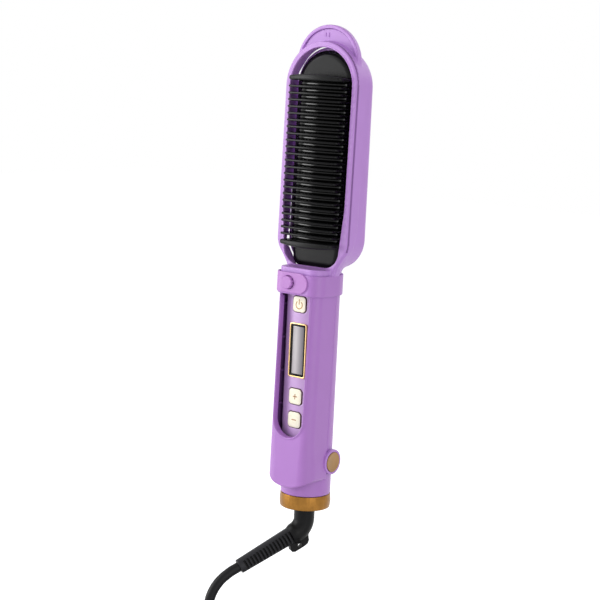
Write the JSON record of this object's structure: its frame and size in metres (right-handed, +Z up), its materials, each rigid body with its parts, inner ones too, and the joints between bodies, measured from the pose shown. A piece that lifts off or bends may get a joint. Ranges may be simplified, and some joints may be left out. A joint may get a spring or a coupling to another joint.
{
  "type": "hair straightener brush",
  "caption": "Corded heated hair straightening brush: a finned comb head inside a ring-shaped front frame that opens about a hinge low on the handle, with a display and push buttons.",
  "frame": {"origin": "middle of the grip, on the handle's axis", "axes": "+Z up the handle towards the comb head; the controls and fins face -Y; +X is to the right of someone who looks at the controls"},
  "size_m": [0.1258, 0.1077, 0.3857],
  "materials": {
    "purple_plastic": "pearly purple paint on plastic",
    "gold_trim": "polished gold plating",
    "black_comb": "satin black",
    "black_gloss": "gloss black",
    "black_plastic": "matt black",
    "black_rubber": "matt black",
    "cord_black": "matt black",
    "display_grey": "smoked grey window",
    "ivory_plastic": "gloss ivory",
    "board": "green board",
    "steel": "plain",
    "aluminium": "plain",
    "ceramic": "unglazed white ceramic",
    "mica": "mica board",
    "wire_red": "wire sleeve",
    "pin_metal": "nickel plated"
  },
  "bodies": {
    "housing": {"rear_housing": "purple_plastic", "rear_collar": "purple_plastic", "control_cover": "purple_plastic", "circuit_board": "board", "tact_switches": "steel", "display_frame": "gold_trim", "display_mask": "black_gloss", "display_window": "display_grey", "comb_base": "black_comb", "comb_fins": "black_comb", "heat_spreader": "aluminium", "heating_elements": "ceramic", "mica_sheet": "mica", "thermal_fuse": "ceramic", "inner_wires": "wire_red", "housing_screws": "steel", "push_latch": "steel", "hinge_pin": "steel", "end_ring": "gold_trim", "end_cap": "black_plastic"},
    "front_arm": {"front_frame": "purple_plastic", "front_collar": "purple_plastic", "hinge_cap_left": "gold_trim", "hinge_cap_right": "gold_trim", "latch_plate": "purple_plastic", "latch_spring": "steel"},
    "release": {"release_button": "purple_plastic"},
    "power": {"power_button": "ivory_plastic"},
    "plus": {"plus_button": "ivory_plastic"},
    "minus": {"minus_button": "ivory_plastic"},
    "cord_swivel": {"swivel_elbow": "black_plastic", "strain_relief": "black_rubber", "hanging_lug": "black_plastic", "cord_lead": "cord_black", "cord_coil": "cord_black", "cord_tail": "cord_black", "coil_tie": "black_rubber", "plug_body": "black_plastic", "plug_pins": "pin_metal"}
  },
  "joints": [
    {"name": "arm_hinge", "type": "hinge", "parent": "housing", "child": "front_arm", "pos_m": [0, 0.0033, -0.0453], "axis": [1, 0, 0], "range_deg": [0, 10]},
    {"name": "release_slide", "type": "slide", "parent": "front_arm", "child": "release", "axis": [0, 0.9998, -0.0209], "range_m": [0, 0.0015], "stiffness_N_per_m": 600, "springref_m": -0.001},
    {"name": "power_slide", "type": "slide", "parent": "housing", "child": "power", "axis": [0, 1, 0], "range_m": [0, 0.0006], "stiffness_N_per_m": 1000, "springref_m": -0.0006},
    {"name": "plus_slide", "type": "slide", "parent": "housing", "child": "plus", "axis": [0, 1, 0], "range_m": [0, 0.0006], "stiffness_N_per_m": 1000, "springref_m": -0.0006},
    {"name": "minus_slide", "type": "slide", "parent": "housing", "child": "minus", "axis": [0, 1, 0], "range_m": [0, 0.0006], "stiffness_N_per_m": 1000, "springref_m": -0.0006},
    {"name": "cord_turn", "type": "hinge", "parent": "housing", "child": "cord_swivel", "pos_m": [0, 0, -0.075], "axis": [0, 0, 1], "continuous": true}
  ]
}
